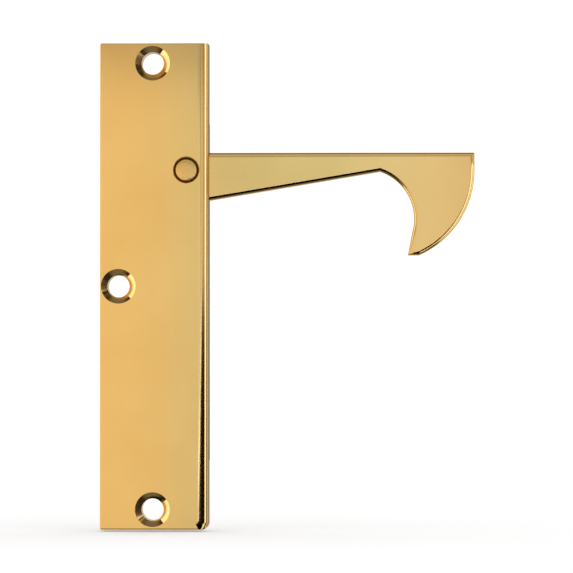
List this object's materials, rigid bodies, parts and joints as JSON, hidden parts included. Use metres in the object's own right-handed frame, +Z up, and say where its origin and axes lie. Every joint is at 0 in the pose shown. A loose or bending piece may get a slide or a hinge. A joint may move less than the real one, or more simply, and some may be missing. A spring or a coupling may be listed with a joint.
{
  "type": "flush edge pull",
  "caption": "Upright brass plate with countersunk screw holes and a hook-shaped pull lever that swings out of a slot in its side to draw a sliding door from its pocket.",
  "frame": {"origin": "centre of the back plate's rear face, which rests on the bottom of the door's recess", "axes": "+Z up the door, +X towards the door's edge and out along the swung-out lever, +Y into the door; the polished face looks along -Y"},
  "size_m": [0.1198, 0.0095, 0.1556],
  "materials": {
    "polished_brass": "polished and lacquered, with soft edges",
    "lever_brass": "polished, with fine lengthwise hairlines",
    "pin_brass": "peened and polished flush",
    "milled_brass": "milled, unpolished",
    "screw_steel": "blackened machine screw",
    "pin_steel": "ground dowel",
    "spring_steel": "spring temper",
    "washer_nylon": "natural nylon",
    "bushing_bronze": "sintered bronze"
  },
  "bodies": {
    "case": {"face_plate": "polished_brass", "upper_spacer": "milled_brass", "lower_spacer": "milled_brass", "back_plate": "milled_brass", "case_screws": "screw_steel", "stop_pin": "pin_steel", "pivot_pin": "pin_brass", "thrust_washer": "washer_nylon", "wave_washer": "spring_steel"},
    "lever": {"hook_lever": "lever_brass", "pivot_bushing": "bushing_bronze"}
  },
  "joints": [
    {"name": "lever_swing", "type": "hinge", "parent": "case", "child": "lever", "pos_m": [0.01015, -0.0041, 0.0372], "axis": [0, 1, 0], "range_deg": [0, 90]}
  ]
}
